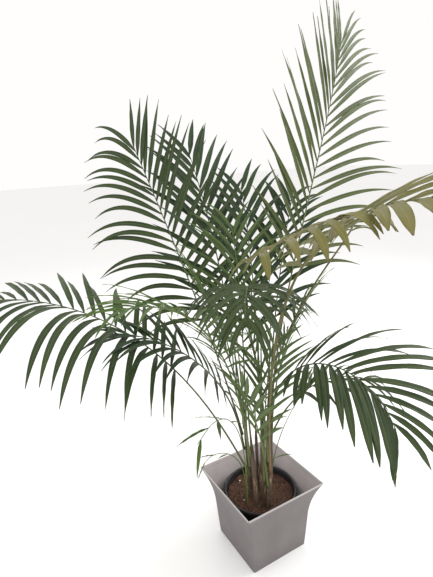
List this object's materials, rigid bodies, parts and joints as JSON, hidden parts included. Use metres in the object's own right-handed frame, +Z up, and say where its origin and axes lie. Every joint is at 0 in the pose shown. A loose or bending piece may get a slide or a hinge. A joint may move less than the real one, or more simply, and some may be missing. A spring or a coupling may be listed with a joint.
{
  "type": "potted palm",
  "caption": "A clump-forming areca palm with arching feather fronds, in a round nursery pot that stands inside a square planter with a flared rim, used as a floor plant.",
  "frame": {"origin": "centre of the planter's flat foot, on the floor", "axes": "+Z up; the planter's sides lie along X and Y; the olive frond leans towards -X -Y, the side the pictured view looks from"},
  "size_m": [1.5263, 1.3358, 1.8766],
  "materials": {
    "planter_plastic": "pale warm grey moulded plastic, satin matte, faint vertical mould marks",
    "nursery_pot_plastic": "near-black thin nursery pot plastic",
    "coir_soil": "damp reddish brown coir and bark soil with a few pale specks",
    "cane_stem": "brown ringed canes, olive green above, with dry sheaths",
    "green_frond": "deep green living leaflet, soft waxy sheen",
    "young_frond": "brighter yellow green young leaflet",
    "olive_frond": "old olive and ochre leaflet, orange brown petiole edge"
  },
  "bodies": {
    "root": {"cane_a": "cane_stem", "cane_b": "cane_stem", "cane_c": "cane_stem", "cane_d": "cane_stem", "cane_e": "cane_stem", "cane_f": "cane_stem", "cane_g": "cane_stem", "forked_leaf": "young_frond", "frond_back": "green_frond", "frond_back_left": "green_frond", "frond_back_right": "green_frond", "frond_front": "green_frond", "frond_inner": "young_frond", "frond_inner_front": "young_frond", "frond_inner_high": "young_frond", "frond_inner_left": "young_frond", "frond_inner_right": "young_frond", "frond_inner_small": "young_frond", "frond_long_left": "green_frond", "frond_low_right": "green_frond", "frond_mid_left": "green_frond", "frond_olive": "olive_frond", "frond_olive_thin": "olive_frond", "frond_small_right": "green_frond", "frond_tall": "green_frond", "frond_upright_left": "green_frond", "frond_young_left": "young_frond", "nursery_pot": "nursery_pot_plastic", "planter": "planter_plastic", "small_leaf_back": "young_frond", "small_leaf_front": "young_frond", "small_leaf_left": "young_frond", "soil": "coir_soil"}
  },
  "joints": []
}
